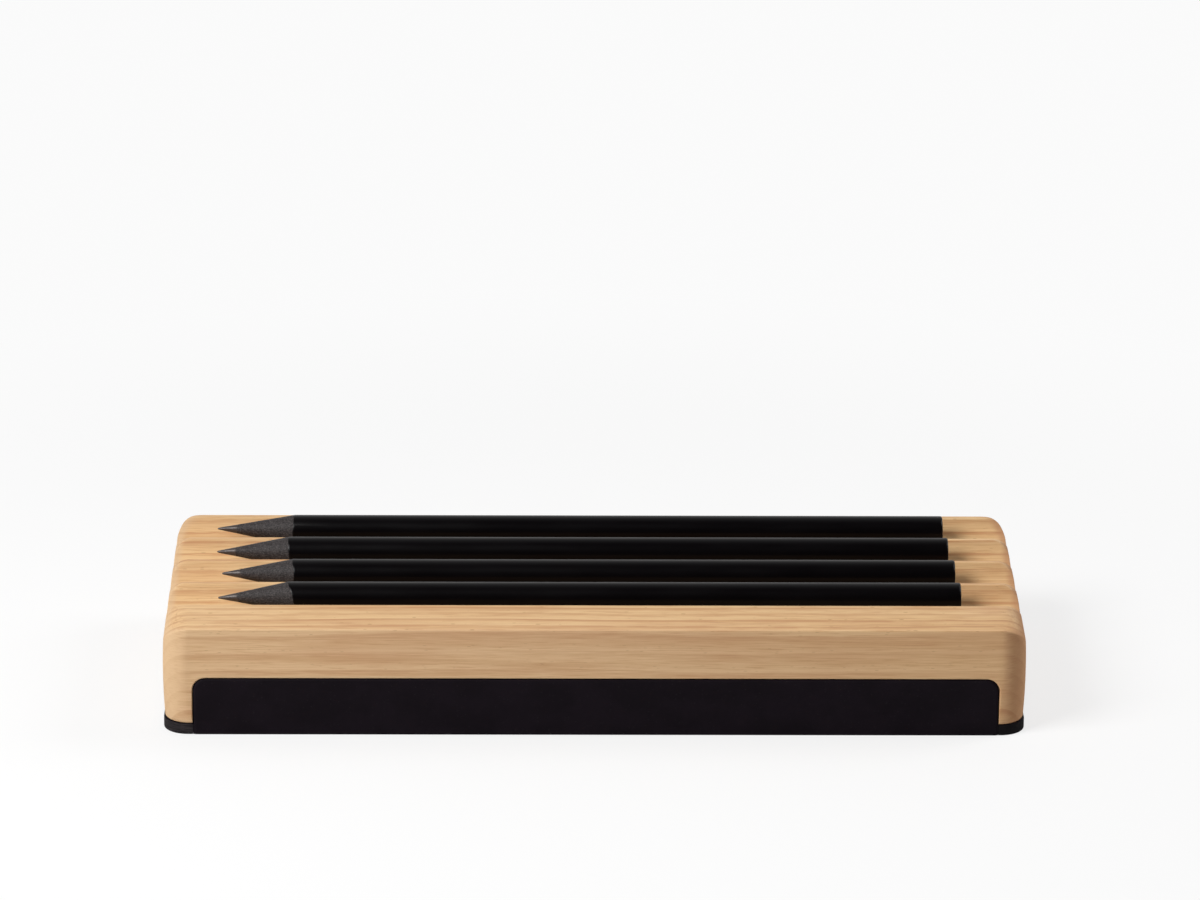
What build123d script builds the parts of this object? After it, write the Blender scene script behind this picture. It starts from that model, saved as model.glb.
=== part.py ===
"""Wooden desk tray with four grooves, on a folded leather base, holding four round pencils.

Frame: +X runs along the grooves to the pencils' blunt ends, +Y runs from the front of the tray
to its back, +Z is up. The origin is the middle of the underside. All lengths are millimetres.
"""

import os
from math import cos, radians, sin

from build123d import *

# Tray
tray_width = 203.0
tray_height = 26.3
front_rail = 16.9
back_rail = 2.0
groove_count = 4
groove_width = 14.2
groove_depth = 4.5
crest_width = 1.5
corner_radius = 6.0
end_bow = 0.45
end_roundover = 4.0
roundover_margin = 0.02
crest_softening = 0.3
bottom_easing = 0.7

# Leather base, one sheet that is folded up over the front
leather_thickness = 2.7
leather_inset = 0.1
leather_edge_round = 0.7
flap_width = 188.9
flap_height = 14.0
flap_corner_radius = 3.0
relief_slit_width = 0.15
relief_slit_margin = 0.8
recess_clearance = 0.1
recess_softening = 0.35

# Pencils
pencil_diameter = 7.4
pencil_length = 176.4
lacquer_thickness = 0.15
lead_diameter = 2.2
sharpened_length = 18.5
lead_point_flat = 0.25
blunt_end_round = 0.5
rest_gap = 0.1

# Pencils from front to back: shift of the middle, change in length, and for the sharpened cone
# its change in length and its tilt
pencil_shift = [-1.1, -1.175, -2.45, -2.92]
pencil_trim = [-0.2, -0.95, 0.2, 0.3]
sharpened_change = [0.15, -0.35, -0.1, 0.8]
sharpening_tilt = [0.75, 0.22, 0.17, -0.17]

# Worked out from the sizes above
groove_pitch = groove_width + crest_width
grooves_depth = groove_count * groove_pitch - crest_width
tray_depth = front_rail + grooves_depth + back_rail
half_width = tray_width / 2
half_depth = tray_depth / 2
groove_radius = (groove_width**2 / 4 + groove_depth**2) / (2 * groove_depth)
groove_floor = tray_height - groove_depth
groove_axis_z = groove_floor + groove_radius
groove_first_y = -half_depth + front_rail + groove_width / 2
groove_rows = [groove_first_y + row * groove_pitch for row in range(groove_count)]
middle_z = (leather_thickness + tray_height) / 2
roundover_z = tray_height - end_roundover
bow_at_roundover = end_bow * ((roundover_z - middle_z) / (tray_height - middle_z)) ** 2
roundover_x = half_width - bow_at_roundover - end_roundover + roundover_margin
half_flap = flap_width / 2
recess_height = flap_height + recess_clearance - leather_thickness
slit_reach = leather_thickness + relief_slit_margin
slit_x = half_flap + relief_slit_width / 2
slit_y = -half_depth + slit_reach / 2
pencil_radius = pencil_diameter / 2
wood_radius = pencil_radius - lacquer_thickness
lead_radius = lead_diameter / 2
pencil_axis_z = groove_floor + rest_gap + pencil_radius
blunt_end_inner_round = max(blunt_end_round - lacquer_thickness, lacquer_thickness / 2)

os.makedirs("parts", exist_ok=True)

# Tray block: a solid board with bowed ends and round corners
with BuildPart() as tray_block:
    with BuildSketch(Plane.XZ) as side_view:
        with BuildLine() as side_outline:
            Line(
                (-half_width + end_bow, leather_thickness),
                (half_width - end_bow, leather_thickness),
            )
            ThreePointArc(
                (half_width - end_bow, leather_thickness),
                (half_width, middle_z),
                (half_width - end_bow, tray_height),
            )
            Line(
                (half_width - end_bow, tray_height),
                (-half_width + end_bow, tray_height),
            )
            ThreePointArc(
                (-half_width + end_bow, tray_height),
                (-half_width, middle_z),
                (-half_width + end_bow, leather_thickness),
            )
        make_face()
    extrude(amount=half_depth, both=True)
    upright_edges = tray_block.edges().filter_by(GeomType.CIRCLE)
    fillet(upright_edges, radius=corner_radius)
    # The lower edge is eased all round, with a slim shadow line above the leather
    fillet(tray_block.faces().sort_by(Axis.Z)[0].edges(), radius=bottom_easing)

    # The ends are rounded over at the top, right across the tray
    with BuildSketch(Plane.XZ) as end_cutters:
        with Locations((roundover_x, roundover_z), (-roundover_x, roundover_z)):
            Rectangle(2 * end_roundover, 2 * end_roundover)
            Circle(end_roundover, mode=Mode.SUBTRACT)
        # The half above the circles' middles, outside them, is what comes off
        with Locations((0, roundover_z - tray_width / 2)):
            Rectangle(2 * tray_width, tray_width, mode=Mode.SUBTRACT)
        with Locations((0, roundover_z)):
            Rectangle(2 * roundover_x, tray_width, mode=Mode.SUBTRACT)
    extrude(amount=half_depth, both=True, mode=Mode.SUBTRACT)

    # Four grooves with round bottoms run out through both ends, between narrow softened crests
    with BuildSketch(Plane.YZ) as cross_section:
        Rectangle(tray_depth, 2 * tray_height)
        with Locations(*[(y, groove_axis_z) for y in groove_rows]):
            Circle(groove_radius, mode=Mode.SUBTRACT)
        fillet(cross_section.vertices().group_by(Axis.Y)[-1], radius=crest_softening)
    extrude(amount=half_width, both=True, mode=Mode.INTERSECT)

    # Recess in the front face for the leather flap, with its rim softened
    with BuildSketch(Plane.XZ.offset(half_depth)) as recess_face:
        with Locations((0, leather_thickness + recess_height / 2)):
            Rectangle(flap_width + 2 * recess_clearance, recess_height)
        fillet(
            recess_face.vertices().group_by(Axis.Y)[-1],
            radius=flap_corner_radius + recess_clearance,
        )
    extrude(amount=-leather_thickness, mode=Mode.SUBTRACT)
    recess_rim = tray_block.edges(Select.LAST).group_by(Axis.Y)[0]
    fillet(recess_rim, radius=recess_softening)
tray_block.part.label = "tray_block"

# Leather base: the pad under the wood, with the front flap folded up from it
with BuildPart() as leather_base:
    with BuildSketch(Plane.XY) as pad_outline:
        RectangleRounded(
            tray_width - 2 * leather_inset,
            tray_depth - 2 * leather_inset,
            corner_radius - leather_inset,
        )
    extrude(amount=leather_thickness)
    fillet(leather_base.faces().sort_by(Axis.Z)[0].edges(), radius=leather_edge_round)
    # Relief slits at both ends of the fold, cut in from the front edge
    with BuildSketch(Plane.XY) as relief_slits:
        with Locations((slit_x, slit_y), (-slit_x, slit_y)):
            Rectangle(relief_slit_width, slit_reach)
    extrude(amount=leather_thickness, mode=Mode.SUBTRACT)
    # The flap stands on the fold, flush with the wood, with a round cut edge
    with BuildSketch(Plane.XZ.offset(half_depth)) as flap_face:
        with Locations((0, flap_height / 2)):
            Rectangle(flap_width, flap_height)
        fillet(flap_face.vertices().group_by(Axis.Y)[-1], radius=flap_corner_radius)
    extrude(amount=-leather_thickness)
    flap_rim = leather_base.faces().sort_by(Axis.Y)[0].edges()
    fillet(flap_rim, radius=leather_edge_round)
leather_base.part.label = "leather_base"

print("tray", tray_width, tray_depth, tray_height, "groove radius", groove_radius)
export_step(tray_block.part, "parts/tray_block.step")
export_step(leather_base.part, "parts/leather_base.step")

# Pencils: two halves of dyed wood glued on the lead, all in a thin coat of lacquer
for row in range(groove_count):
    number = row + 1
    pencil_y = groove_rows[row]
    tip_x = pencil_shift[row] - (pencil_length + pencil_trim[row]) / 2
    blunt_x = pencil_shift[row] + (pencil_length + pencil_trim[row]) / 2
    wood_end_x = blunt_x - lacquer_thickness
    full_length = blunt_x - tip_x
    across = Plane(origin=(tip_x, pencil_y, pencil_axis_z), x_dir=(0, 1, 0), z_dir=(1, 0, 0))
    # The sharpened cone starts at the tip, on an axis a little off the pencil's own
    tilt = radians(sharpening_tilt[row])
    along_cone = (cos(tilt), 0, sin(tilt))
    cone_side = Plane(origin=across.origin, x_dir=along_cone, z_dir=(0, -1, 0))
    cone_axis = Axis(origin=across.origin, direction=along_cone)
    cone_length = sharpened_length + sharpened_change[row]
    cone_width = full_length * pencil_radius / cone_length
    with BuildSketch(cone_side) as cone_profile:
        with BuildLine() as cone_outline:
            Polyline((0, 0), (full_length, 0), (full_length, cone_width), (0, 0))
        make_face()

    for side, half in (("upper", 1), ("lower", -1)):
        with BuildPart() as slat:
            with BuildSketch(across) as half_round:
                Circle(wood_radius)
                Circle(lead_radius, mode=Mode.SUBTRACT)
                with Locations((0, -half * pencil_diameter / 2)):
                    Rectangle(2 * pencil_diameter, pencil_diameter, mode=Mode.SUBTRACT)
            extrude(amount=wood_end_x - tip_x)
            outer_rim = slat.faces().sort_by(Axis.X)[-1].edges().sort_by(SortBy.LENGTH)[-1]
            fillet(outer_rim, radius=blunt_end_inner_round)
            revolve(cone_profile.sketch, axis=cone_axis, mode=Mode.INTERSECT)
        slat.part.label = f"pencil_{number}_{side}_slat"
        export_step(slat.part, f"parts/{slat.part.label}.step")

    with BuildPart() as lead:
        with BuildSketch(across) as lead_round:
            Circle(lead_radius)
        extrude(amount=wood_end_x - tip_x)
        revolve(cone_profile.sketch, axis=cone_axis, mode=Mode.INTERSECT)
        # The very point is worn to a small flat
        with BuildSketch(across.offset(lead_point_flat)) as worn_point:
            Circle(lead_radius)
        extrude(amount=-2 * lead_point_flat, mode=Mode.SUBTRACT)
    lead.part.label = f"pencil_{number}_lead"
    export_step(lead.part, f"parts/{lead.part.label}.step")

    # The lacquer is a thin sleeve that also closes the blunt end
    with BuildPart() as core:
        with BuildSketch(across) as core_round:
            Circle(wood_radius)
        extrude(amount=wood_end_x - tip_x)
        fillet(core.faces().sort_by(Axis.X)[-1].edges(), radius=blunt_end_inner_round)

    with BuildPart() as lacquer:
        with BuildSketch(across) as outer_round:
            Circle(pencil_radius)
        extrude(amount=full_length)
        fillet(lacquer.faces().sort_by(Axis.X)[-1].edges(), radius=blunt_end_round)
        add(core.part, mode=Mode.SUBTRACT)
        revolve(cone_profile.sketch, axis=cone_axis, mode=Mode.INTERSECT)
    lacquer.part.label = f"pencil_{number}_lacquer"
    export_step(lacquer.part, f"parts/{lacquer.part.label}.step")
    print("pencil", number, "from", round(tip_x, 2), "to", round(blunt_x, 2), "y", round(pencil_y, 2))
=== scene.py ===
# %% [markdown]
# # A grooved desk tray in oiled wood and black leather, with four black pencils
#
# The tray is one board of pale hardwood. Four round-bottomed grooves run out through both ends,
# and a sheet of thick leather is glued below it and folded up over the front. This notebook
# loads the measured model as a frame, and then makes each piece again with the soft edges, the
# grain and the finish that the real one has.

# %% Load the measured model
from math import atan2, cos, pi, radians, sin, sqrt

import bmesh
import bpy
from mathutils import Matrix, Vector


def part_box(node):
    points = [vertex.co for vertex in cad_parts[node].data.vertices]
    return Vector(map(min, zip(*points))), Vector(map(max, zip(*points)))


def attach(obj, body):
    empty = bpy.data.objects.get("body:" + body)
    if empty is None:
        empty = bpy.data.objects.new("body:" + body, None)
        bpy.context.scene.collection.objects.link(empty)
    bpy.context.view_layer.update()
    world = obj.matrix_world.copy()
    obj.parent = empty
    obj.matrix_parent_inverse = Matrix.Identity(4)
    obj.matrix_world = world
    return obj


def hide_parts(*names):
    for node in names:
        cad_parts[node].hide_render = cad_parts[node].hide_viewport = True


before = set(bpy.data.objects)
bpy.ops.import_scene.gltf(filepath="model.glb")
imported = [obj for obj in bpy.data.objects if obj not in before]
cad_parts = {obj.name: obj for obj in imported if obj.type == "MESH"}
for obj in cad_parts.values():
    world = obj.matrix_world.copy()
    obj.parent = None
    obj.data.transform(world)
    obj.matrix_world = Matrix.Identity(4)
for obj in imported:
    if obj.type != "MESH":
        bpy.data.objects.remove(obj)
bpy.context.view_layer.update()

MM = 0.001


def box_in_mm(low, high):
    return [round((b - a) / MM, 1) for a, b in zip(low, high)]


# %% [markdown]
# ## The camera
#
# A catalogue picture like this is taken from far away with a long lens, so that parallel edges
# stay almost parallel. The place and the lens were worked out from straight edges of known
# length: 1.6 metres away and 19 degrees up, a little left of the middle, and turned a hair to
# the right. Aiming above the tray puts it low in the picture, and needs no lens shift.

# %% Camera
camera_place = (-0.01936, -1.4948, 0.57242)
camera_height_angle = radians(19.02)
camera_turn = radians(-0.795)
camera_roll = radians(0.384)
picture_width = 1200
focal_in_pixels = 6644
sensor_width = 36.0

camera_data = bpy.data.cameras.new("long_lens")
camera_data.sensor_width = sensor_width
camera_data.lens = focal_in_pixels / picture_width * sensor_width
camera_data.clip_start, camera_data.clip_end = 0.05, 60
camera = bpy.data.objects.new("camera", camera_data)
bpy.context.scene.collection.objects.link(camera)
camera.matrix_world = (
    Matrix.Translation(camera_place)
    @ Matrix.Rotation(camera_turn, 4, "Z")
    @ Matrix.Rotation(pi / 2 - camera_height_angle, 4, "X")
    @ Matrix.Rotation(camera_roll, 4, "Z")
)
bpy.context.scene.camera = camera
print("lens", round(camera_data.lens, 1), "mm")

# %% [markdown]
# ## Working as by hand
#
# Every operator acts on whatever is selected, so the first habit is to select nothing and then
# only what is meant. Edges are picked in code by where they lie, as a hand would pick them with
# the mouse. Each piece is measured once it is made: an open edge would be a hole in it.


# %% Selecting and opening a piece
def deselect_all():
    if bpy.context.mode != "OBJECT":
        bpy.ops.object.mode_set(mode="OBJECT")
    bpy.ops.object.select_all(action="DESELECT")


def take(piece):
    deselect_all()
    piece.select_set(True)
    bpy.context.view_layer.objects.active = piece


def edit(piece):
    take(piece)
    bpy.ops.object.mode_set(mode="EDIT")
    bpy.ops.mesh.select_all(action="DESELECT")


def done():
    bpy.ops.object.mode_set(mode="OBJECT")


# %% Picking edges and rounding them
hair = 0.01 * MM  # within this, a point counts as lying on a plane


def pick(piece, kind, test):
    """In edit mode, selects the edges or the faces that pass the test. Returns how many."""
    bpy.ops.mesh.select_mode(type=kind)
    bpy.ops.mesh.select_all(action="DESELECT")
    shape = bmesh.from_edit_mesh(piece.data)
    parts = shape.edges if kind == "EDGE" else shape.faces
    picked = [part for part in parts if test(part)]
    for part in picked:
        part.select = True
    bmesh.update_edit_mesh(piece.data)
    return len(picked)


def round_edges(piece, test, radius, segments):
    """In edit mode, bevels the edges whose two ends pass the test. Returns how many."""
    count = pick(piece, "EDGE", lambda edge: test(edge.verts[0].co, edge.verts[1].co))
    bpy.ops.mesh.bevel(offset=radius, segments=segments, affect="EDGES")
    return count


def stands_up(a, b):
    return abs(a.z - b.z) > MM


def lies_at(height):
    return lambda a, b: abs(a.z - height) < hair and abs(b.z - height) < hair


# %% A board between two corners, and a report on a piece
def slab(name, low, high):
    """A cube primitive with its size applied."""
    deselect_all()
    middle = [(a + b) / 2 for a, b in zip(low, high)]
    bpy.ops.mesh.primitive_cube_add(size=1, location=middle)
    piece = bpy.context.object
    piece.name = name
    piece.scale = [b - a for a, b in zip(low, high)]
    bpy.ops.object.transform_apply(location=True, rotation=True, scale=True)
    return piece


def report(piece):
    shape = bmesh.new()
    shape.from_mesh(piece.data)
    open_edges = sum(not edge.is_manifold for edge in shape.edges)
    triangles = sum(len(face.verts) - 2 for face in shape.faces)
    volume = shape.calc_volume() / MM**3
    shape.free()
    print(piece.name, "triangles", triangles, "open edges", open_edges, "mm3", round(volume))


# %% [markdown]
# ## The board
#
# On the real tray a router with a round-nosed cutter mills the four grooves, a quarter-round
# cutter takes off the top of both ends, and a sanding pad breaks every edge and leaves the front
# corners rounder. Boolean cuts would give the shapes but leave slivers where a groove meets the
# rounded end, and a bevel can't follow such an edge. So the board is divided by planes where the
# cutters will pass, fine where an edge will be soft, and its top is then lowered to the height
# that the cutters leave. The lower of two heights, blended over a few tenths of a millimetre, is
# just what sanding does.

# %% Sizes of the board
block_low, block_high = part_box("tray_block")
leather_low, leather_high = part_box("leather_base")
board_top = block_high[2]
board_bottom = block_low[2]
board_middle = (board_top + board_bottom) / 2
half_width = 101.5 * MM
half_depth = block_high[1]
corner_radius = 6.0 * MM
corner_segments = 20
top_softening = 0.3 * MM
bottom_easing = 0.7 * MM
print("board", box_in_mm(block_low, block_high), "mm")

# %% The blank, with round corners and broken edges
tray_board = slab(
    "tray_board", (-half_width, -half_depth, board_bottom), (half_width, half_depth, board_top)
)
edit(tray_board)
round_edges(tray_board, stands_up, corner_radius, corner_segments)
round_edges(tray_board, lies_at(board_top), top_softening, segments=3)
round_edges(tray_board, lies_at(board_bottom), bottom_easing, segments=4)
done()
report(tray_board)

# %% Sizes of the cuts
groove_rows = [-16.1 * MM, -0.4 * MM, 15.3 * MM, 31.0 * MM]
groove_half_width = 7.1 * MM
groove_depth = 4.5 * MM
groove_radius = (groove_half_width**2 + groove_depth**2) / (2 * groove_depth)
groove_axis = board_top - groove_depth + groove_radius
crest_softness = 0.45 * MM
end_bow = 0.45 * MM
end_roundover = 4.0 * MM
roundover_start = half_width - end_roundover
corner_starts = 30.0 * MM
corner_wear = 2.0 * MM
print("groove radius", round(groove_radius / MM, 2), "mm")

# %% Lines where the cutters will pass
groove_steps = 20
evenly_divided = 0.955
at_crest_edge = [-0.3, -0.2, -0.12, -0.05, 0.02, 0.1, 0.2, 0.34]
lines_along = []
for row in groove_rows:
    for step in range(-groove_steps, groove_steps + 1):
        lines_along.append(row + step / groove_steps * evenly_divided * groove_half_width)
    for side in (-1, 1):
        lines_along += [row + side * (groove_half_width + part * MM) for part in at_crest_edge]
roundover_steps = 18
lines_across = []
for side in (-1, 1):
    for step in range(roundover_steps - 1):
        turn = pi / 2 * step / roundover_steps
        lines_across.append(side * (roundover_start + end_roundover * sin(turn)))
    for share in (0.25, 0.5, 0.75, 1):
        lines_across.append(side * (roundover_start - corner_wear * share))
lines_up = [part * MM for part in (4.5, 6.5, 8.5, 12, 16, 18, 19.6, 21)]
print("lines", len(lines_along), "along,", len(lines_across), "across,", len(lines_up), "up")

# %% Divide the board along these lines
cut_threshold = 0.0001 * MM


def cut_at(piece, normal, places):
    """Divides the whole surface by parallel planes across the given axis."""
    edit(piece)
    for place in places:
        bpy.ops.mesh.select_all(action="SELECT")
        point = [place * part for part in normal]
        bpy.ops.mesh.bisect(plane_co=point, plane_no=normal, threshold=cut_threshold)
    done()


cut_at(tray_board, (0, 0, 1), lines_up)
cut_at(tray_board, (0, 1, 0), sorted(lines_along))
cut_at(tray_board, (1, 0, 0), sorted(lines_across))
report(tray_board)


# %% Lower the top to what the cutters and the sanding leave
def softened_lower(one, other, softness):
    """The lower of two heights, with the edge between them rounded."""
    nearness = max(softness - abs(one - other), 0) / softness
    return min(one, other) - nearness * nearness * softness / 4


def height_left(x, y):
    """The height of the top at a place: rail, rounded end or groove, whichever is lower."""
    near_front = min(max((-y - corner_starts) / (half_depth - corner_starts), 0), 1)
    softer = corner_wear * near_front * near_front * (3 - 2 * near_front)
    roundover = end_roundover + softer
    beyond = abs(x) - (half_width - roundover)
    height = board_top
    if beyond > 0:
        inside = max(roundover**2 - beyond**2, 0)
        height = board_top - roundover + sqrt(inside)
    for row in groove_rows:
        aside = abs(y - row)
        if aside < groove_radius:
            groove = groove_axis - sqrt(groove_radius**2 - aside**2)
            height = softened_lower(height, groove, crest_softness)
    return height


for vertex in tray_board.data.vertices:
    place = vertex.co
    if place.z > board_top - top_softening - hair:
        place.z = height_left(place.x, place.y) - (board_top - place.z)
    away = (place.z - board_middle) / (board_top - board_middle)
    place.x -= end_bow * away**2 * place.x / half_width
tray_board.data.update()
report(tray_board)

# %% Sizes of the recess for the leather flap
flap_left, flap_right = -94.3 * MM, 94.95 * MM
flap_top = leather_high[2]
flap_corner = 3.0 * MM
leather_thickness = board_bottom - leather_low[2]
recess_clearance = 0.1 * MM
recess_left = flap_left - recess_clearance
recess_right = flap_right + recess_clearance
recess_top = flap_top + recess_clearance
recess_corner = flap_corner + recess_clearance
rim_softening = 0.35 * MM
overshoot = 5 * MM
print("leather", round(leather_thickness / MM, 2), "mm thick")


# %% Cut the recess
def apply_modifiers(piece):
    take(piece)
    for modifier in list(piece.modifiers):
        bpy.ops.object.modifier_apply(modifier=modifier.name)


def join_or_cut(piece, tool, operation):
    """One boolean, applied at once, and the tool is thrown away."""
    boolean = piece.modifiers.new("boolean", "BOOLEAN")
    boolean.object = tool
    boolean.operation = operation
    boolean.solver = "EXACT"
    apply_modifiers(piece)
    bpy.data.objects.remove(tool, do_unlink=True)


def rounded_plate(name, low, high, radius):
    """An upright plate whose two top corners are round."""
    plate = slab(name, low, high)
    edit(plate)
    top = high[2] - hair
    round_edges(plate, lambda a, b: abs(a.y - b.y) > MM and min(a.z, b.z) > top, radius, 10)
    done()
    return plate


cutter = rounded_plate(
    "recess_cutter",
    (recess_left, -half_depth - overshoot, board_bottom - overshoot),
    (recess_right, -half_depth + leather_thickness, recess_top),
    recess_corner,
)
join_or_cut(tray_board, cutter, "DIFFERENCE")
report(tray_board)


# %% Soften the rim of the recess
def is_on_rim(place):
    past_side = max(recess_left - place.x, place.x - recess_right)
    beside = abs(past_side) < hair and place.z < recess_top
    above = abs(place.z - recess_top) < hair
    from_x = past_side + recess_corner
    from_z = place.z - (recess_top - recess_corner)
    off_curve = abs(sqrt(from_x**2 + from_z**2) - recess_corner)
    return beside or above or (from_x > 0 and from_z > 0 and off_curve < 5 * hair)


def on_recess_rim(a, b):
    on_front = max(a.y, b.y) <= -half_depth + hair / 2
    return on_front and is_on_rim(a) and is_on_rim(b)


def smooth(piece, angle):
    """Smooth shading up to an angle, weighted so that broad faces stay flat."""
    take(piece)
    bpy.ops.object.shade_smooth_by_angle(angle=radians(angle))
    weighted = piece.modifiers.new("weighted", "WEIGHTED_NORMAL")
    weighted.keep_sharp = True
    weighted.weight = 100
    apply_modifiers(piece)


edit(tray_board)
print("rim edges", round_edges(tray_board, on_recess_rim, rim_softening, segments=3))
done()
smooth(tray_board, angle=32)
report(tray_board)

# %% [markdown]
# ## The leather sheet
#
# One piece of firm black leather, 2.7 mm thick, is cut with a tongue on its front edge. Two
# short slits free the tongue, and it is folded up into the recess of the board, where it sits a
# hair to the right of the middle. A bent sheet could be made by extruding and turning one edge,
# but a pad, with its slits cut, and an upright plate with round corners, joined to it by a
# boolean, give the same sheet with clean corners. The knife and handling have rounded the rim of
# the flap, while the fold and the edges of the pad are sharper, and the bevels show that.

# %% Pad
leather_inset = 0.1 * MM
pad_low = (-half_width + leather_inset, -half_depth + leather_inset, 0)
pad_high = (half_width - leather_inset, half_depth - leather_inset, leather_thickness)
pad_bottom_round = 0.3 * MM
pad_top_round = 0.25 * MM
leather_sheet = slab("leather_sheet", pad_low, pad_high)
edit(leather_sheet)
round_edges(leather_sheet, stands_up, corner_radius - leather_inset, corner_segments)
round_edges(leather_sheet, lies_at(0), pad_bottom_round, segments=3)
round_edges(leather_sheet, lies_at(leather_thickness), pad_top_round, segments=2)
done()
report(leather_sheet)

# %% Relief slits beside the fold
slit_width = 0.06 * MM
slit_reach = 3.5 * MM
overcut = 0.02 * MM
past_sheet = MM
for side, flap_edge in ((-1, flap_left), (1, flap_right)):
    inner, outer = flap_edge - side * overcut, flap_edge + side * slit_width
    slit = slab(
        "slit",
        (min(inner, outer), -half_depth - past_sheet, -past_sheet),
        (max(inner, outer), -half_depth + slit_reach, leather_thickness + past_sheet),
    )
    join_or_cut(leather_sheet, slit, "DIFFERENCE")
report(leather_sheet)

# %% Flap, folded up at the front
flap_rim_round = 0.7 * MM
fold_round = 0.2 * MM
flap = rounded_plate(
    "flap",
    (flap_left, -half_depth, 0),
    (flap_right, -half_depth + leather_thickness, flap_top),
    flap_corner,
)


def on_flap_rim(a, b):
    return max(a.y, b.y) < -half_depth + hair and max(a.z, b.z) > MM


def on_fold(a, b):
    return max(a.y, b.y) < -half_depth + flap_rim_round + hair and max(a.z, b.z) < hair


edit(flap)
print("flap rim", round_edges(flap, on_flap_rim, flap_rim_round, segments=4))
print("fold", round_edges(flap, on_fold, fold_round, segments=2))
done()
join_or_cut(leather_sheet, flap, "UNION")
smooth(leather_sheet, angle=40)
report(leather_sheet)

# %% [markdown]
# ## The pencils
#
# Each pencil is a graphite lead between two half-round slats of wood dyed black through, in a
# coat of black lacquer only a twentieth of a millimetre thick. A sharpener cuts all of it at
# once into one cone. Every piece is round, so each starts as a circle that is extruded and
# resized from ring to ring, as on a lathe. One pencil is made in full, with its tip at the
# origin. Its copies are then laid in the grooves, each with its own length, because all four
# have been sharpened by hand: the points are worn and sit a little off the middle, and the edge
# of the lacquer lies a little askew and wavy, never in the same place twice.

# %% Sizes of the pencil that the others are copied from
pencil_radius = 3.7 * MM
lacquer_thickness = 0.05 * MM
wood_radius = pencil_radius - lacquer_thickness
lead_radius = 1.1 * MM
cone_length = 18.5 * MM
full_length = 176.4 * MM
wood_end = full_length - lacquer_thickness
worn_off = 1.05 * MM
slope = pencil_radius / (cone_length + worn_off)
barrel_start = 1.5 * cone_length
round_steps = 96
print("angle of the cone", round(2 * atan2(slope, 1) / radians(1), 1), "degrees")


# %% Turning a round piece from ring to ring
def turned(name, rings):
    """Rings are (distance from the tip, radius). The first and last one are left open."""
    start, radius = rings[0]
    deselect_all()
    bpy.ops.mesh.primitive_circle_add(
        vertices=round_steps, radius=radius, location=(start, 0, 0), rotation=(0, pi / 2, 0)
    )
    piece = bpy.context.object
    piece.name = name
    bpy.ops.object.transform_apply(location=True, rotation=True, scale=True)
    bpy.ops.object.mode_set(mode="EDIT")
    bpy.ops.mesh.select_all(action="SELECT")
    half_step = pi / round_steps
    bpy.ops.transform.rotate(value=half_step, orient_axis="X", center_override=(0, 0, 0))
    for (before, was), (after, wanted) in zip(rings, rings[1:]):
        bpy.ops.mesh.extrude_region_move(
            TRANSFORM_OT_translate={"value": (after - before, 0, 0)}
        )
        share = wanted / was
        bpy.ops.transform.resize(value=(1, share, share), center_override=(after, 0, 0))
    return piece


def pick_open_rings():
    bpy.ops.mesh.select_all(action="DESELECT")
    bpy.ops.mesh.select_mode(type="EDGE")
    bpy.ops.mesh.select_non_manifold()


def face_outwards():
    bpy.ops.mesh.select_all(action="SELECT")
    bpy.ops.mesh.normals_make_consistent(inside=False)
    done()


# %% The lead, from its worn point to the blunt end
def cone_ring(radius):
    """The ring of this radius on the sharpened cone."""
    return radius / slope - worn_off, radius


def on_cone(narrow, wide, steps):
    """Rings on the sharpened cone between two radii."""
    return [cone_ring(narrow + (wide - narrow) * step / steps) for step in range(steps + 1)]


worn_point = [
    (0.04 * MM, 0.06 * MM),
    (0.07 * MM, 0.12 * MM),
    (0.15 * MM, 0.18 * MM),
    (0.30 * MM, 0.235 * MM),
]
blunted_radius = 0.30 * MM
tapered_lead = on_cone(blunted_radius, lead_radius, 8)
straight_lead = [(full_length / 2, lead_radius), (wood_end, lead_radius)]
lead = turned("lead", worn_point + tapered_lead + straight_lead)
pick_open_rings()
bpy.ops.mesh.edge_face_add()
face_outwards()
report(lead)


# %% Both slats, as one round piece with the bore for the lead
def rounded_end(end, radius, round_over, steps):
    """Rings that round the blunt end over, from the barrel to the end face."""
    turns = [pi / 2 * step / steps for step in range(steps + 1)]
    return [
        (end - round_over * (1 - sin(turn)), radius - round_over * (1 - cos(turn)))
        for turn in turns
    ]


inner_round = 0.35 * MM
slat_outside = on_cone(lead_radius, wood_radius, 24) + [(barrel_start, wood_radius)]
slat_outside += rounded_end(wood_end, wood_radius, inner_round, 3)
bore = [(wood_end, lead_radius), (barrel_start, lead_radius)]
both_slats = turned("slats", slat_outside + bore)
pick_open_rings()
bpy.ops.mesh.bridge_edge_loops()
face_outwards()
report(both_slats)

# %% Cut them in half, as they are glued
slats = []
for name, keep_upper in (("upper_slat", True), ("lower_slat", False)):
    slat = both_slats.copy()
    slat.data = both_slats.data.copy()
    slat.name = name
    bpy.context.scene.collection.objects.link(slat)
    edit(slat)
    bpy.ops.mesh.select_all(action="SELECT")
    bpy.ops.mesh.bisect(
        plane_co=(0, 0, 0),
        plane_no=(0, 0, 1),
        clear_inner=keep_upper,
        clear_outer=not keep_upper,
        use_fill=True,
        threshold=cut_threshold,
    )
    done()
    report(slat)
    slats.append(slat)
bpy.data.objects.remove(both_slats, do_unlink=True)

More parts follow.
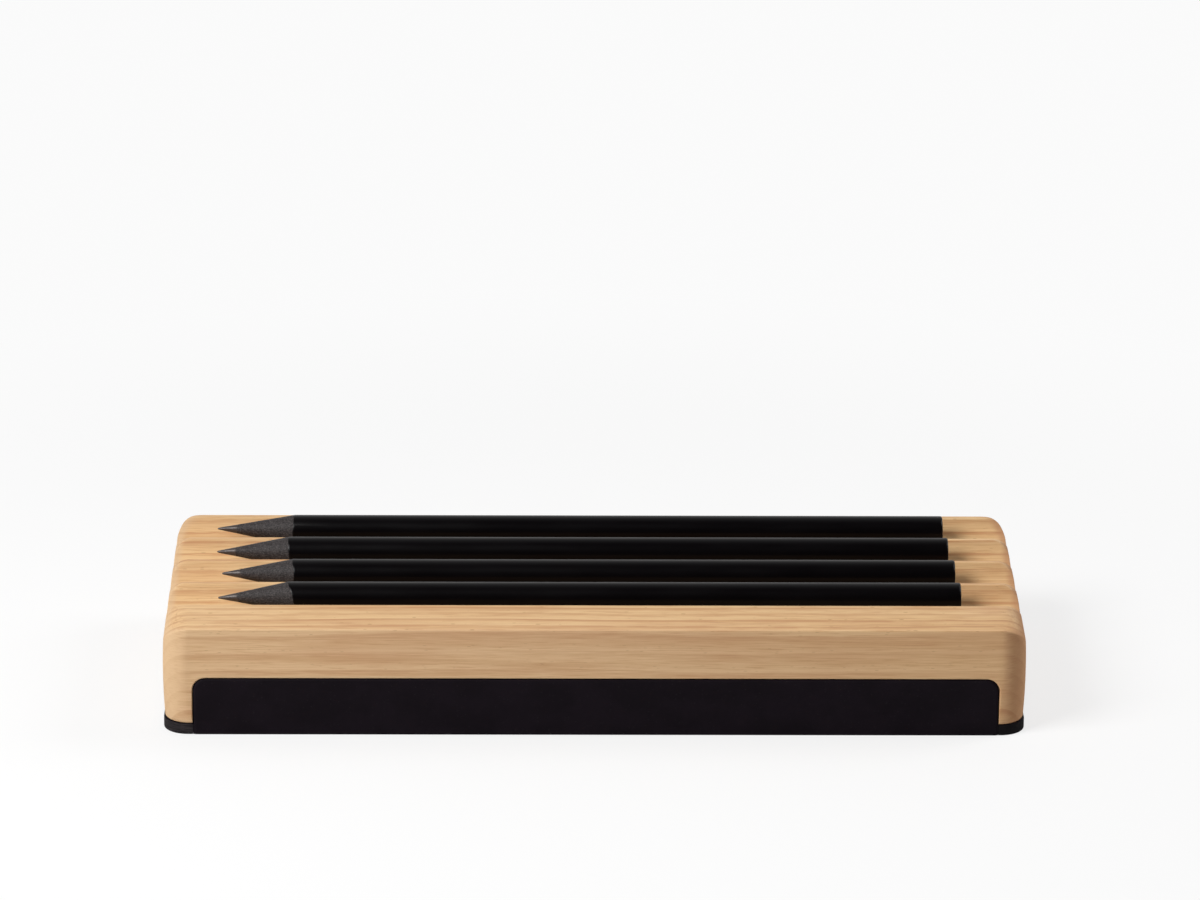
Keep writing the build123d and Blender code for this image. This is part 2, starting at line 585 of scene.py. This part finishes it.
# %% The coat of lacquer, a sleeve that also closes the blunt end
blunt_end_round = 0.5 * MM
lacquer_inside = rounded_end(wood_end, wood_radius, inner_round, 3)[::-1]
lacquer_inside += [(barrel_start, wood_radius), cone_ring(wood_radius)]
lacquer_outside = [(cone_length, pencil_radius), (barrel_start, pencil_radius)]
lacquer_outside += [(full_length * part, pencil_radius) for part in (0.4, 0.7)]
lacquer_outside += rounded_end(full_length, pencil_radius, blunt_end_round, 10)
coat = turned("lacquer_coat", lacquer_inside + lacquer_outside)
pick_open_rings()
bpy.ops.mesh.edge_face_add()
face_outwards()
report(coat)

# %% How each pencil differs, from the front groove to the back one
worn_flat = 0.25 * MM
cones = [18.05 * MM, 17.5 * MM, 17.75 * MM, 18.65 * MM]
askew = [0.85 * MM, 0.3 * MM, 0.25 * MM, -0.25 * MM]
point_lift = [-0.22 * MM, 0.17 * MM, 0.02 * MM, 0.31 * MM]
# Each wave of the edge: how many go round the pencil, where they start, and their size
waves = [
    ((2, pi / 2, 0.35 * MM), (3, 1.1, 0.10 * MM), (7, 2.0, 0.03 * MM)),
    ((2, 2.1, 0.07 * MM), (3, 0.4, 0.06 * MM), (5, 1.0, 0.03 * MM)),
    ((2, 1.2, 0.06 * MM), (3, 2.7, 0.05 * MM), (6, 0.2, 0.03 * MM)),
    ((2, 0.1, 0.08 * MM), (3, 1.9, 0.04 * MM), (5, 2.4, 0.02 * MM)),
]
stretched_until = full_length * 0.9


def lay_in_groove(piece, row):
    """Fits a piece to its groove: length of the cone and the barrel, and the askew edge."""
    lead_low, lead_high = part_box(f"pencil_{row + 1}_lead")
    coat_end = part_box(f"pencil_{row + 1}_lacquer")[1][0]
    middle_y = (lead_low[1] + lead_high[1]) / 2
    middle_z = (lead_low[2] + lead_high[2]) / 2
    tip = lead_low[0] - worn_flat
    longer_cone = cones[row] - cone_length
    longer = coat_end - tip - full_length
    for vertex in piece.data.vertices:
        along, across, up = vertex.co
        angle = atan2(up, across)
        shift = -askew[row] * sin(angle)
        shift += sum(size * sin(count * angle + phase) for count, phase, size in waves[row])
        if along <= cone_length:
            up += point_lift[row] * (1 - along / cone_length)
            along += (longer_cone + shift) * along / cone_length
        else:
            past_cone = along - cone_length
            fading = max(1 - past_cone / (barrel_start - cone_length), 0)
            towards_end = min(past_cone / (stretched_until - cone_length), 1)
            along += shift * fading
            along += longer_cone * (1 - towards_end) + longer * towards_end
        vertex.co = (tip + along, middle_y + across, middle_z + up)
    piece.data.update()


print("points off the middle by, mm:", [round(lift / MM, 2) for lift in point_lift])

# %% Four pencils, each a copy of the first with its own mesh
pencil_pieces = {"lead": lead, "upper_slat": slats[0], "lower_slat": slats[1], "lacquer": coat}
sharp_above = {"lead": 35, "upper_slat": 35, "lower_slat": 35, "lacquer": 10}
pencils = []
for row in range(len(groove_rows)):
    laid = {}
    for part, original in pencil_pieces.items():
        piece = original.copy()
        piece.data = original.data.copy()
        piece.name = f"dressed_pencil_{row + 1}_{part}"
        bpy.context.scene.collection.objects.link(piece)
        lay_in_groove(piece, row)
        take(piece)
        bpy.ops.object.shade_smooth_by_angle(angle=radians(sharp_above[part]))
        laid[part] = piece
    pencils.append(laid)
    low = min(vertex.co.x for vertex in laid["lead"].data.vertices)
    high = max(vertex.co.x for vertex in laid["lacquer"].data.vertices)
    print("pencil", row + 1, "from", round(low / MM, 2), "to", round(high / MM, 2), "mm")
for original in pencil_pieces.values():
    bpy.data.objects.remove(original, do_unlink=True)

# %% [markdown]
# ## Finishes
#
# All colours come from node materials that read Object coordinates, so the pattern goes right
# through each piece like real grain, and a cut across it shows the end of the same fibres. A
# picture wrapped round each piece would show seams at the edges. Three effects are wanted by
# more than one material, and each is a node group of its own: long fibres, short flecks and a
# cloudy variation. All three have a length along X, a width and a flatness, which makes them
# thinner upwards than they are wide.


# %% Helpers for node trees
def node(tree, kind, **settings):
    made = tree.nodes.new(kind)
    for name, value in settings.items():
        setattr(made, name, value)
    return made


def feed(tree, target, source):
    """A socket is linked, and a number or colour is set on the node itself."""
    if isinstance(source, bpy.types.NodeSocket):
        tree.links.new(source, target)
    else:
        target.default_value = source


def feed_all(tree, made, **sources):
    """Feeds inputs by their names, written small and with _ for a space."""
    for name, source in sources.items():
        feed(tree, made.inputs[name.replace("_", " ").title()], source)


def maths(tree, operation, *sources, clamp=False):
    made = node(tree, "ShaderNodeMath", operation=operation, use_clamp=clamp)
    for place, source in enumerate(sources):
        feed(tree, made.inputs[place], source)
    return made.outputs[0]


def times(tree, one, other):
    return maths(tree, "MULTIPLY", one, other)


def object_place(tree):
    return node(tree, "ShaderNodeTexCoord").outputs["Object"]


# %% Helpers for steps and blends
def ramp(tree, source, start, end, low=0.0, high=1.0):
    """A smooth step of a value from one range to another."""
    made = node(tree, "ShaderNodeMapRange", interpolation_type="SMOOTHSTEP")
    feed_all(tree, made, value=source, from_min=start, from_max=end, to_min=low, to_max=high)
    return made.outputs["Result"]


def blend_colours(tree, share, first, second, blend="MIX"):
    made = node(tree, "ShaderNodeMix", data_type="RGBA", blend_type=blend)
    feed_all(tree, made, factor=share, a=first, b=second)
    for socket in made.outputs:
        if socket.type == "RGBA":
            return socket


def lay_over(tree, colour, layers, blend="MIX"):
    """Lays colours over a first one, each with its share: a list of (share, colour)."""
    for share, layer in layers:
        colour = blend_colours(tree, share, colour, layer, blend)
    return colour


# %% Helpers for node groups
def stretched_place(tree, given):
    """Object coordinates divided by a length along X and a width, and flattened along Z."""
    along = maths(tree, "DIVIDE", 1.0, given.outputs["Length"])
    across = maths(tree, "DIVIDE", 1.0, given.outputs["Width"])
    up = times(tree, across, given.outputs["Flatness"])
    scale = node(tree, "ShaderNodeCombineXYZ")
    feed_all(tree, scale, x=along, y=across, z=up)
    scaled = node(tree, "ShaderNodeVectorMath", operation="MULTIPLY")
    feed(tree, scaled.inputs[0], object_place(tree))
    feed(tree, scaled.inputs[1], scale.outputs["Vector"])
    return scaled.outputs["Vector"]


def new_group(name, output, **inputs):
    """A shader node group with named number inputs and their values, and one output."""
    group = bpy.data.node_groups.new(name, "ShaderNodeTree")
    for label, value in inputs.items():
        socket = group.interface.new_socket(
            name=label.capitalize(), in_out="INPUT", socket_type="NodeSocketFloat"
        )
        socket.default_value = value
    group.interface.new_socket(name=output, in_out="OUTPUT", socket_type="NodeSocketFloat")
    given, result = node(group, "NodeGroupInput"), node(group, "NodeGroupOutput")
    return group, given, result


def use_group(tree, group, **values):
    """Places a group in a material, with its own values, and gives back its output."""
    made = node(tree, "ShaderNodeGroup", node_tree=group)
    feed_all(tree, made, **values)
    return made.outputs[0]


# %% Long fibres that run along X
fibres, given, result = new_group(
    "Long fibres", "Tone", length=14 * MM, width=0.3 * MM, flatness=1.0, contrast=1.0
)
strands = node(fibres, "ShaderNodeTexNoise")
place = stretched_place(fibres, given)
feed_all(fibres, strands, vector=place, scale=1.0, detail=4.0, roughness=0.6)
centred = maths(fibres, "SUBTRACT", strands.outputs["Fac"], 0.5)
tone = times(fibres, centred, given.outputs["Contrast"])
feed(fibres, result.inputs["Tone"], maths(fibres, "ADD", tone, 0.5, clamp=True))
print("node group", fibres.name)

# %% Short flecks: pores in wood, dust on lacquer, pits in leather
flecks, given, result = new_group(
    "Short flecks",
    "Mask",
    length=5 * MM,
    width=0.6 * MM,
    flatness=1.0,
    size=0.2,
    share=0.4,
)
cells = node(flecks, "ShaderNodeTexVoronoi")
feed_all(flecks, cells, vector=stretched_place(flecks, given), scale=1.0)
chance = node(flecks, "ShaderNodeSeparateColor")
feed_all(flecks, chance, color=cells.outputs["Color"])
present = maths(flecks, "LESS_THAN", chance.outputs["Red"], given.outputs["Share"])
own_size = ramp(flecks, chance.outputs["Green"], 0.0, 1.0, low=0.35)
reach = times(flecks, given.outputs["Size"], own_size)
edge = times(flecks, reach, 0.5)
shape = ramp(flecks, cells.outputs["Distance"], edge, reach, low=1.0, high=0.0)
feed(flecks, result.inputs["Mask"], times(flecks, shape, present))
print("node group", flecks.name)

# %% A cloudy variation, larger than any fibre
clouds, given, result = new_group(
    "Cloudy variation", "Tone", length=40 * MM, width=12 * MM, flatness=1.0, detail=2.0
)
cloud = node(clouds, "ShaderNodeTexNoise")
place = stretched_place(clouds, given)
feed_all(clouds, cloud, vector=place, scale=1.0, detail=given.outputs["Detail"])
feed(clouds, result.inputs["Tone"], cloud.outputs["Fac"])
print("node group", clouds.name)


# %% Helpers for materials
def new_material(name):
    made = bpy.data.materials.new(name)
    made.use_nodes = True
    return made, made.node_tree, made.node_tree.nodes["Principled BSDF"]


def object_xyz(tree):
    """The three Object coordinates, one by one."""
    parts = node(tree, "ShaderNodeSeparateXYZ")
    feed_all(tree, parts, vector=object_place(tree))
    return parts.outputs


def fine_noise(tree, x, y, z, detail):
    """Noise with its own size along each axis."""
    place = node(tree, "ShaderNodeMapping")
    feed_all(tree, place, vector=object_place(tree), scale=(1 / x, 1 / y, 1 / z))
    noise = node(tree, "ShaderNodeTexNoise")
    feed_all(tree, noise, vector=place.outputs["Vector"], scale=1.0, detail=detail)
    return noise.outputs["Fac"]


def set_finish(tree, shader, colour, roughness, specular):
    feed_all(tree, shader, base_color=colour, roughness=roughness)
    feed(tree, shader.inputs["Specular IOR Level"], specular)


def set_relief(tree, shader, height, strength, depth, invert=False):
    relief = node(tree, "ShaderNodeBump", invert=invert)
    feed_all(tree, relief, height=height, strength=strength, distance=depth)
    feed_all(tree, shader, normal=relief.outputs["Normal"])


# %% [markdown]
# ## The wood of the tray
#
# A tree adds a ring of pale wood each spring and a thin darker line each summer. The board was
# cut well away from the heart, with the rings leaning through it at about 45 degrees, so the
# top and the front both show them as nearly straight lines. Here the distance from a line far
# below and in front of the board, bent a little by a slow noise, gives every ring, and its
# fraction gives the place within the year. The pores are flecks much longer than they are wide
# and flatter still, as the fibres are, and stand thickest in the spring wood. Because all of
# this is a solid pattern, the top, the front, the grooves and the ends each show their own cut
# of it.
#
# The colour isn't the same all over. The front is painted a shade paler, as painted light, and
# towards the right end the front is painted darker and warmer, as painted shade. At both ends
# the
# fibres are cut across: such end grain drinks more oil, so it is even in colour and dull, and
# shows the rings only faintly. Over that, the left end is painted paler, as painted light, and
# the right end darker, as painted shade.

# %% Distance from the heart of the tree, in years
wood, tree, shader = new_material("oiled_pale_hardwood")
heart_y, heart_z = -132 * MM, -57 * MM
ring_spacing = 3.0 * MM


def hypotenuse(tree, one, other):
    return maths(tree, "SQRT", maths(tree, "MULTIPLY_ADD", one, one, times(tree, other, other)))


at = object_xyz(tree)
from_heart = hypotenuse(
    tree, maths(tree, "SUBTRACT", at["Y"], heart_y), maths(tree, "SUBTRACT", at["Z"], heart_z)
)
slow_bend = use_group(tree, clouds, length=110 * MM, width=30 * MM, detail=1.0)
quick_bend = use_group(tree, clouds, length=38 * MM, width=6 * MM, detail=2.0)
for bend, size in ((slow_bend, 4.0 * MM), (quick_bend, 0.5 * MM), (at["X"], -0.004)):
    from_heart = maths(tree, "MULTIPLY_ADD", bend, size, from_heart)
years = maths(tree, "DIVIDE", from_heart, ring_spacing)
within_year = maths(tree, "FRACT", years)
print("rings", ring_spacing / MM, "mm apart")

# %% Summer wood, stronger in some years
weather = node(tree, "ShaderNodeTexWhiteNoise", noise_dimensions="1D")
feed_all(tree, weather, w=maths(tree, "FLOOR", years))
strong_years = ramp(tree, weather.outputs["Value"], 0.1, 0.8, low=0.4)
summer_starts = ramp(tree, within_year, 0.52, 0.88)
summer_ends = ramp(tree, within_year, 0.93, 1.0, low=1.0, high=0.0)
summer = times(tree, times(tree, summer_starts, summer_ends), strong_years)
print(wood.name, "nodes", len(tree.nodes))

# %% Colours of the wood
spring_colour = (0.735, 0.474, 0.238, 1)
summer_colour = (0.555, 0.280, 0.128, 1)
fibre_dark = (0.590, 0.322, 0.146, 1)
fibre_light = (0.790, 0.535, 0.280, 1)
pore_colour = (0.340, 0.165, 0.070, 1)
# Painted light: the front face is painted paler and bluer than the top.
painted_front_light = (1.05, 1.065, 1.16, 1)
# Painted shade: the front grows darker and warmer towards the right end.
painted_shade_to_right = (0.955, 0.925, 0.875, 1)
# Painted light and shade: the left end is painted paler and the right end darker.
painted_lit_left_end = (0.715, 0.490, 0.291, 1)
painted_shaded_right_end = (0.535, 0.282, 0.143, 1)
end_shade = (0.80, 0.70, 0.62, 1)
print("spring wood", spring_colour[:3], "summer wood", summer_colour[:3])

# %% Rings, fibres and patches
fine = use_group(tree, fibres, length=9 * MM, width=1.0 * MM, flatness=4.0, contrast=2.5)
broad = use_group(tree, fibres, length=100 * MM, width=2.2 * MM, contrast=2.0)
patches = use_group(tree, clouds, length=70 * MM, width=9 * MM, detail=2.0)
layers = [
    (summer, summer_colour),
    (ramp(tree, within_year, 0.30, 0.03, high=0.55), fibre_light),
    (ramp(tree, fine, 0.50, 0.12, high=0.65), fibre_dark),
    (ramp(tree, fine, 0.52, 0.88, high=0.7), fibre_light),
    (ramp(tree, broad, 0.48, 0.16, high=0.5), fibre_dark),
    (ramp(tree, broad, 0.54, 0.86, high=0.6), fibre_light),
    (ramp(tree, patches, 0.55, 0.35, high=0.3), summer_colour),
]
colour = lay_over(tree, spring_colour, layers)
print(wood.name, "layers", len(layers))


# %% Where the fibres are cut across: the ends, but not the front and the back
def past_corner_start(tree, place, half_size):
    """How far a place lies beyond the line where the round corner starts."""
    away = maths(tree, "ABSOLUTE", place)
    return maths(tree, "MAXIMUM", maths(tree, "SUBTRACT", away, half_size - corner_radius), 0.0)


from_corner = hypotenuse(
    tree,
    past_corner_start(tree, at["X"], half_width),
    past_corner_start(tree, at["Y"], half_depth),
)
at_ends = times(
    tree,
    ramp(tree, maths(tree, "ABSOLUTE", at["X"]), 94.0 * MM, 99.5 * MM),
    ramp(tree, from_corner, 3.3 * MM, 5.2 * MM),
)
print(wood.name, "nodes", len(tree.nodes))

# %% Pores, in the spring wood
pores = use_group(
    tree, flecks, length=3.4 * MM, width=1.2 * MM, flatness=3.5, size=0.23, share=0.6
)
pores = times(tree, pores, ramp(tree, within_year, 0.10, 0.60, low=1.0, high=0.15))
pores = times(tree, pores, maths(tree, "SUBTRACT", 1.0, at_ends))
colour = lay_over(tree, colour, [(times(tree, pores, 0.6), pore_colour)])
print(wood.name, "nodes", len(tree.nodes))

# %% Painted light and shade on the front and the ends, and end grain
front_starts, front_ends = -half_depth + 0.2 * MM, -half_depth + 0.8 * MM
# Painted light: the front face is painted paler and bluer.
on_front = ramp(tree, at["Y"], front_starts, front_ends, low=1.0, high=0.0)
# Painted shade: the front grows darker and warmer towards the right end.
painted_shade_share = times(
    tree,
    ramp(tree, at["X"], -10 * MM, 95 * MM),
    ramp(tree, at["Y"], -34 * MM, -26 * MM, low=1.0, high=0.0),
)
painted_light_and_shade = [(on_front, painted_front_light), (painted_shade_share, painted_shade_to_right)]
colour = lay_over(tree, colour, painted_light_and_shade, blend="MULTIPLY")
# Painted light and shade: the left end paler, the right end darker, over the end grain.
lit_to_shaded_end = ramp(tree, at["X"], -50 * MM, 50 * MM)
end_colour = blend_colours(tree, lit_to_shaded_end, painted_lit_left_end, painted_shaded_right_end)
end_pores = ramp(tree, fine, 0.50, 0.12, high=0.2)
shades = [(times(tree, summer, 0.35), end_shade), (end_pores, end_shade)]
end_colour = lay_over(tree, end_colour, shades, blend="MULTIPLY")
colour = blend_colours(tree, times(tree, at_ends, 0.85), colour, end_colour)
print(wood.name, "nodes", len(tree.nodes))

# %% Oil finish: satin, duller in the pores and at the ends, with the grain just felt
gloss = maths(tree, "MULTIPLY_ADD", fine, 0.16, 0.40)
gloss = maths(tree, "MULTIPLY_ADD", at_ends, 0.30, gloss)
gloss = maths(tree, "MULTIPLY_ADD", pores, 0.2, gloss)
set_finish(tree, shader, colour, gloss, specular=0.25)
height = maths(tree, "MULTIPLY_ADD", pores, -1.0, fine)
set_relief(tree, shader, height, strength=0.18, depth=0.05 * MM)
tray_board.data.materials.clear()
tray_board.data.materials.append(wood)
print(wood.name, "nodes", len(tree.nodes))

# %% [markdown]
# ## The leather
#
# The face of the sheet is smooth, matte and all but black, with a fine pebble. Its cut edge is
# not dyed as deep: there the layers of fibres show as grey streaks along the edge, and towards
# the right end the edge is painted darker, as painted shade. The pad's upright sides get that as
# a material of their own. The rim of the flap was dyed again by hand, and looks like the face.

# %% Face of the leather
leather_face, tree, shader = new_material("black_leather_face")
tint = use_group(tree, clouds, length=9 * MM, width=6 * MM, detail=3.0)
specks = use_group(tree, flecks, length=0.9 * MM, width=0.7 * MM, size=0.28, share=0.3)
layers = [
    (ramp(tree, tint, 0.35, 0.65), (0.0090, 0.0056, 0.0092, 1)),
    (times(tree, specks, 0.5), (0.02, 0.017, 0.019, 1)),
]
colour = lay_over(tree, (0.0060, 0.0034, 0.0062, 1), layers)
roughness = ramp(tree, tint, 0.3, 0.7, low=0.62, high=0.78)
set_finish(tree, shader, colour, roughness, specular=0.10)
pebble_size = 0.55 * MM
pebble = node(tree, "ShaderNodeTexVoronoi", feature="SMOOTH_F1")
feed_all(tree, pebble, vector=object_place(tree), scale=1 / pebble_size, smoothness=0.6)
pebble_height = pebble.outputs["Distance"]
set_relief(tree, shader, pebble_height, strength=0.35, depth=0.04 * MM, invert=True)
print(leather_face.name, "nodes", len(tree.nodes))

# %% Cut edge of the leather
leather_edge, tree, shader = new_material("black_leather_cut_edge")
sheet_layers = fine_noise(tree, 2.4 * MM, 2.4 * MM, 0.22 * MM, detail=4.0)
fibre_ends = use_group(tree, flecks, length=0.5 * MM, width=0.4 * MM, size=0.35, share=0.4)
layers = [
    (ramp(tree, sheet_layers, 0.35, 0.68), (0.040, 0.033, 0.036, 1)),
    (times(tree, fibre_ends, 0.4), (0.07, 0.06, 0.062, 1)),
    # Painted shade: the cut edge grows darker towards the right end.
    (ramp(tree, object_xyz(tree)["X"], -60 * MM, 60 * MM, high=0.92), (0.004, 0.003, 0.004, 1)),
]
colour = lay_over(tree, (0.012, 0.0098, 0.011, 1), layers)
roughness = ramp(tree, sheet_layers, 0.3, 0.7, low=0.7, high=0.85)
set_finish(tree, shader, colour, roughness, specular=0.15)
set_relief(tree, shader, sheet_layers, strength=0.5, depth=0.06 * MM)
print(leather_edge.name, "nodes", len(tree.nodes))

# %% Which faces of the sheet are cut edges
leather_sheet.data.materials.clear()
leather_sheet.data.materials.append(leather_face)
leather_sheet.data.materials.append(leather_edge)


def is_cut_edge(face):
    middle = face.calc_center_median()
    slack = 5 * hair
    on_flap = middle.y < -half_depth + leather_thickness + slack
    on_flap = on_flap and flap_left - slack < middle.x < flap_right + slack
    return abs(face.normal.z) < 0.6 and not on_flap


edit(leather_sheet)
print("cut edge faces", pick(leather_sheet, "FACE", is_cut_edge))
leather_sheet.active_material_index = 1
bpy.ops.object.material_slot_assign()
done()

# %% [markdown]
# ## Dyed wood, graphite and lacquer
#
# The slats are basswood dyed black through. Where the sharpener cuts them they are a dark warm
# grey with darker fibre ends, and quite matte. The graphite is a shade lighter and shines like a
# soft metal. The lacquer is black and satin: its colour is nearly nothing, and what the eye sees
# is the reflection, with a speck of dust here and there.

# %% Dyed wood
dyed_wood, tree, shader = new_material("black_dyed_wood")
strands = use_group(tree, fibres, length=2.2 * MM, width=0.16 * MM, contrast=1.5)
mottle = use_group(tree, fibres, length=0.42 * MM, width=0.26 * MM, contrast=2.6)
pits = use_group(tree, flecks, length=0.5 * MM, width=0.25 * MM, size=0.45, share=0.45)
grains = use_group(tree, flecks, length=0.55 * MM, width=0.36 * MM, size=0.42, share=0.6)
layers = [
    (strands, (0.057, 0.049, 0.049, 1)),
    (ramp(tree, mottle, 0.55, 0.1, high=0.75), (0.012, 0.0102, 0.0102, 1)),
    (ramp(tree, mottle, 0.5, 0.95, high=0.6), (0.120, 0.106, 0.104, 1)),
    (times(tree, pits, 0.75), (0.012, 0.010, 0.010, 1)),
    (times(tree, grains, 0.25), (0.150, 0.132, 0.128, 1)),
]
colour = lay_over(tree, (0.028, 0.024, 0.0243, 1), layers)
roughness = maths(tree, "MULTIPLY_ADD", pits, 0.15, 0.6)
set_finish(tree, shader, colour, roughness, specular=0.25)
height = maths(tree, "MULTIPLY_ADD", pits, -1.0, strands)
set_relief(tree, shader, height, strength=0.4, depth=0.04 * MM)
print(dyed_wood.name, "nodes", len(tree.nodes))

# %% Graphite
graphite, tree, shader = new_material("polished_graphite")
turning = fine_noise(tree, 0.12 * MM, 1.2 * MM, 1.2 * MM, detail=2.0)
colour = blend_colours(tree, turning, (0.048, 0.038, 0.035, 1), (0.094, 0.075, 0.069, 1))
roughness = ramp(tree, turning, 0.3, 0.7, low=0.32, high=0.42)
set_finish(tree, shader, colour, roughness, specular=0.5)
feed_all(tree, shader, metallic=0.2)
set_relief(tree, shader, turning, strength=0.15, depth=0.02 * MM)
print(graphite.name, "nodes", len(tree.nodes))

# %% Lacquer
lacquer, tree, shader = new_material("black_lacquer_satin")
haze = use_group(tree, clouds, length=18 * MM, width=3 * MM, detail=3.0)
dust = use_group(tree, flecks, length=4.5 * MM, width=3.5 * MM, size=0.045, share=0.16)
layers = [(haze, (0.0026, 0.0019, 0.0025, 1)), (times(tree, dust, 0.6), (0.12, 0.115, 0.12, 1))]
colour = lay_over(tree, (0.0017, 0.0011, 0.0015, 1), layers)
roughness = ramp(tree, haze, 0.3, 0.7, low=0.28, high=0.33)
set_finish(tree, shader, colour, roughness, specular=0.17)
set_relief(tree, shader, haze, strength=0.1, depth=0.02 * MM)
print(lacquer.name, "nodes", len(tree.nodes))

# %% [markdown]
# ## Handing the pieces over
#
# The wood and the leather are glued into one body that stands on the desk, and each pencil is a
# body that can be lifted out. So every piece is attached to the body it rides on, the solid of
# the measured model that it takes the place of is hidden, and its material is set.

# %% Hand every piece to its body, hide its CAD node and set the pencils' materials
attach(tray_board, "tray")
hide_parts("tray_block")
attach(leather_sheet, "tray")
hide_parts("leather_base")
finishes = {
    "lead": (graphite, "graphite"),
    "upper_slat": (dyed_wood, "dyed_wood"),
    "lower_slat": (dyed_wood, "dyed_wood"),
    "lacquer": (lacquer, "black_lacquer"),
}
for number, laid in enumerate(pencils, start=1):
    for part, piece in laid.items():
        material, slot = finishes[part]
        piece.data.materials.clear()
        piece.data.materials.append(material)
        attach(piece, f"pencil_{number}")
        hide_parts(f"pencil_{number}_{part}")
print("pieces handed over:", 2 + 4 * len(pencils))

# %% [markdown]
# ## Floor and light
#
# The tray stands on a white sweep. A large soft box hangs above it on the left and in front,
# near enough that the right end gets less of it. A second one, less than half as strong, fills
# in from the right and a little behind. The room is pale at the back: that draws the bright line
# along the top of each black pencil, and the floor throws light back on the front.
# Levels are plain: a surface that faces the light renders about as its colour is written. The
# floor is white to the camera by its own glow, and keeps the soft shadow of the tray.

# %% White sweep
seen_white = (0.96, 0.96, 0.96, 1)
below_tray = -0.02 * MM
deselect_all()
bpy.ops.mesh.primitive_plane_add(size=12, location=(0, 0, below_tray))
floor = bpy.context.object
floor.name = "white_sweep"
white, tree, shader = new_material("white_paper")
set_finish(tree, shader, (0.69, 0.69, 0.69, 1), roughness=0.9, specular=0.0)
floor.data.materials.append(white)
print("floor", floor.name)


# %% What the camera sees of the sweep
def seen_by_camera(tree, lighting, seen, surface):
    """One shader lights the object, and the camera sees the other one."""
    rays = node(tree, "ShaderNodeLightPath")
    choice = node(tree, "ShaderNodeMixShader")
    sources = (rays.outputs["Is Camera Ray"], lighting, seen)
    for place, source in enumerate(sources):
        feed(tree, choice.inputs[place], source)
    feed(tree, surface, choice.outputs["Shader"])


glow = node(tree, "ShaderNodeEmission")
feed_all(tree, glow, color=seen_white, strength=1.0)
paper = node(tree, "ShaderNodeBsdfDiffuse")
feed_all(tree, paper, color=(1.0, 1.0, 1.0, 1))
from_tray = node(tree, "ShaderNodeVectorMath", operation="LENGTH")
feed(tree, from_tray.inputs[0], object_place(tree))
near_tray = ramp(tree, from_tray.outputs["Value"], 0.15, 0.30, low=0.25, high=0.0)
shadowed = node(tree, "ShaderNodeMixShader")
for place, source in enumerate((near_tray, glow.outputs[0], paper.outputs[0])):
    feed(tree, shadowed.inputs[place], source)
surface = tree.nodes["Material Output"].inputs["Surface"]
seen_by_camera(tree, shader.outputs["BSDF"], shadowed.outputs["Shader"], surface)
print(white.name, "nodes", len(tree.nodes))


# %% Two soft boxes
def soft_box(name, direction, level, size):
    """An area lamp 1 m away. At level 1 a white surface that faces it renders white."""
    lamp = bpy.data.lights.new(name, "AREA")
    lamp.energy = level * pi**2
    lamp.size = size
    box = bpy.data.objects.new(name, lamp)
    bpy.context.scene.collection.objects.link(box)
    box.location = Vector(direction).normalized()
    box.rotation_euler = box.location.to_track_quat("Z", "Y").to_euler()
    return box


left_box = soft_box("left_soft_box", (-0.594, -0.421, 0.685), level=0.95, size=0.5)
right_box = soft_box("right_soft_box", (0.75, 0.2, 0.63), level=0.40, size=0.5)
print("lamps", left_box.name, right_box.name)

# %% The room, dark in front and pale at the back
room = bpy.data.worlds.new("room")
bpy.context.scene.world = room
room.use_nodes = True
tree = room.node_tree
towards = node(tree, "ShaderNodeSeparateXYZ")
feed_all(tree, towards, vector=node(tree, "ShaderNodeTexCoord").outputs["Generated"])
behind = times(tree, maths(tree, "MAXIMUM", towards.outputs["Y"], 0.0), 0.74)
background = tree.nodes["Background"]
feed_all(tree, background, color=(1.0, 1.0, 1.0, 1), strength=behind)
seen = node(tree, "ShaderNodeBackground")
feed_all(tree, seen, color=seen_white, strength=1.0)
surface = tree.nodes["World Output"].inputs["Surface"]
seen_by_camera(tree, background.outputs["Background"], seen.outputs["Background"], surface)
bpy.context.scene.view_settings.view_transform = "Standard"
print(room.name, "nodes", len(tree.nodes))
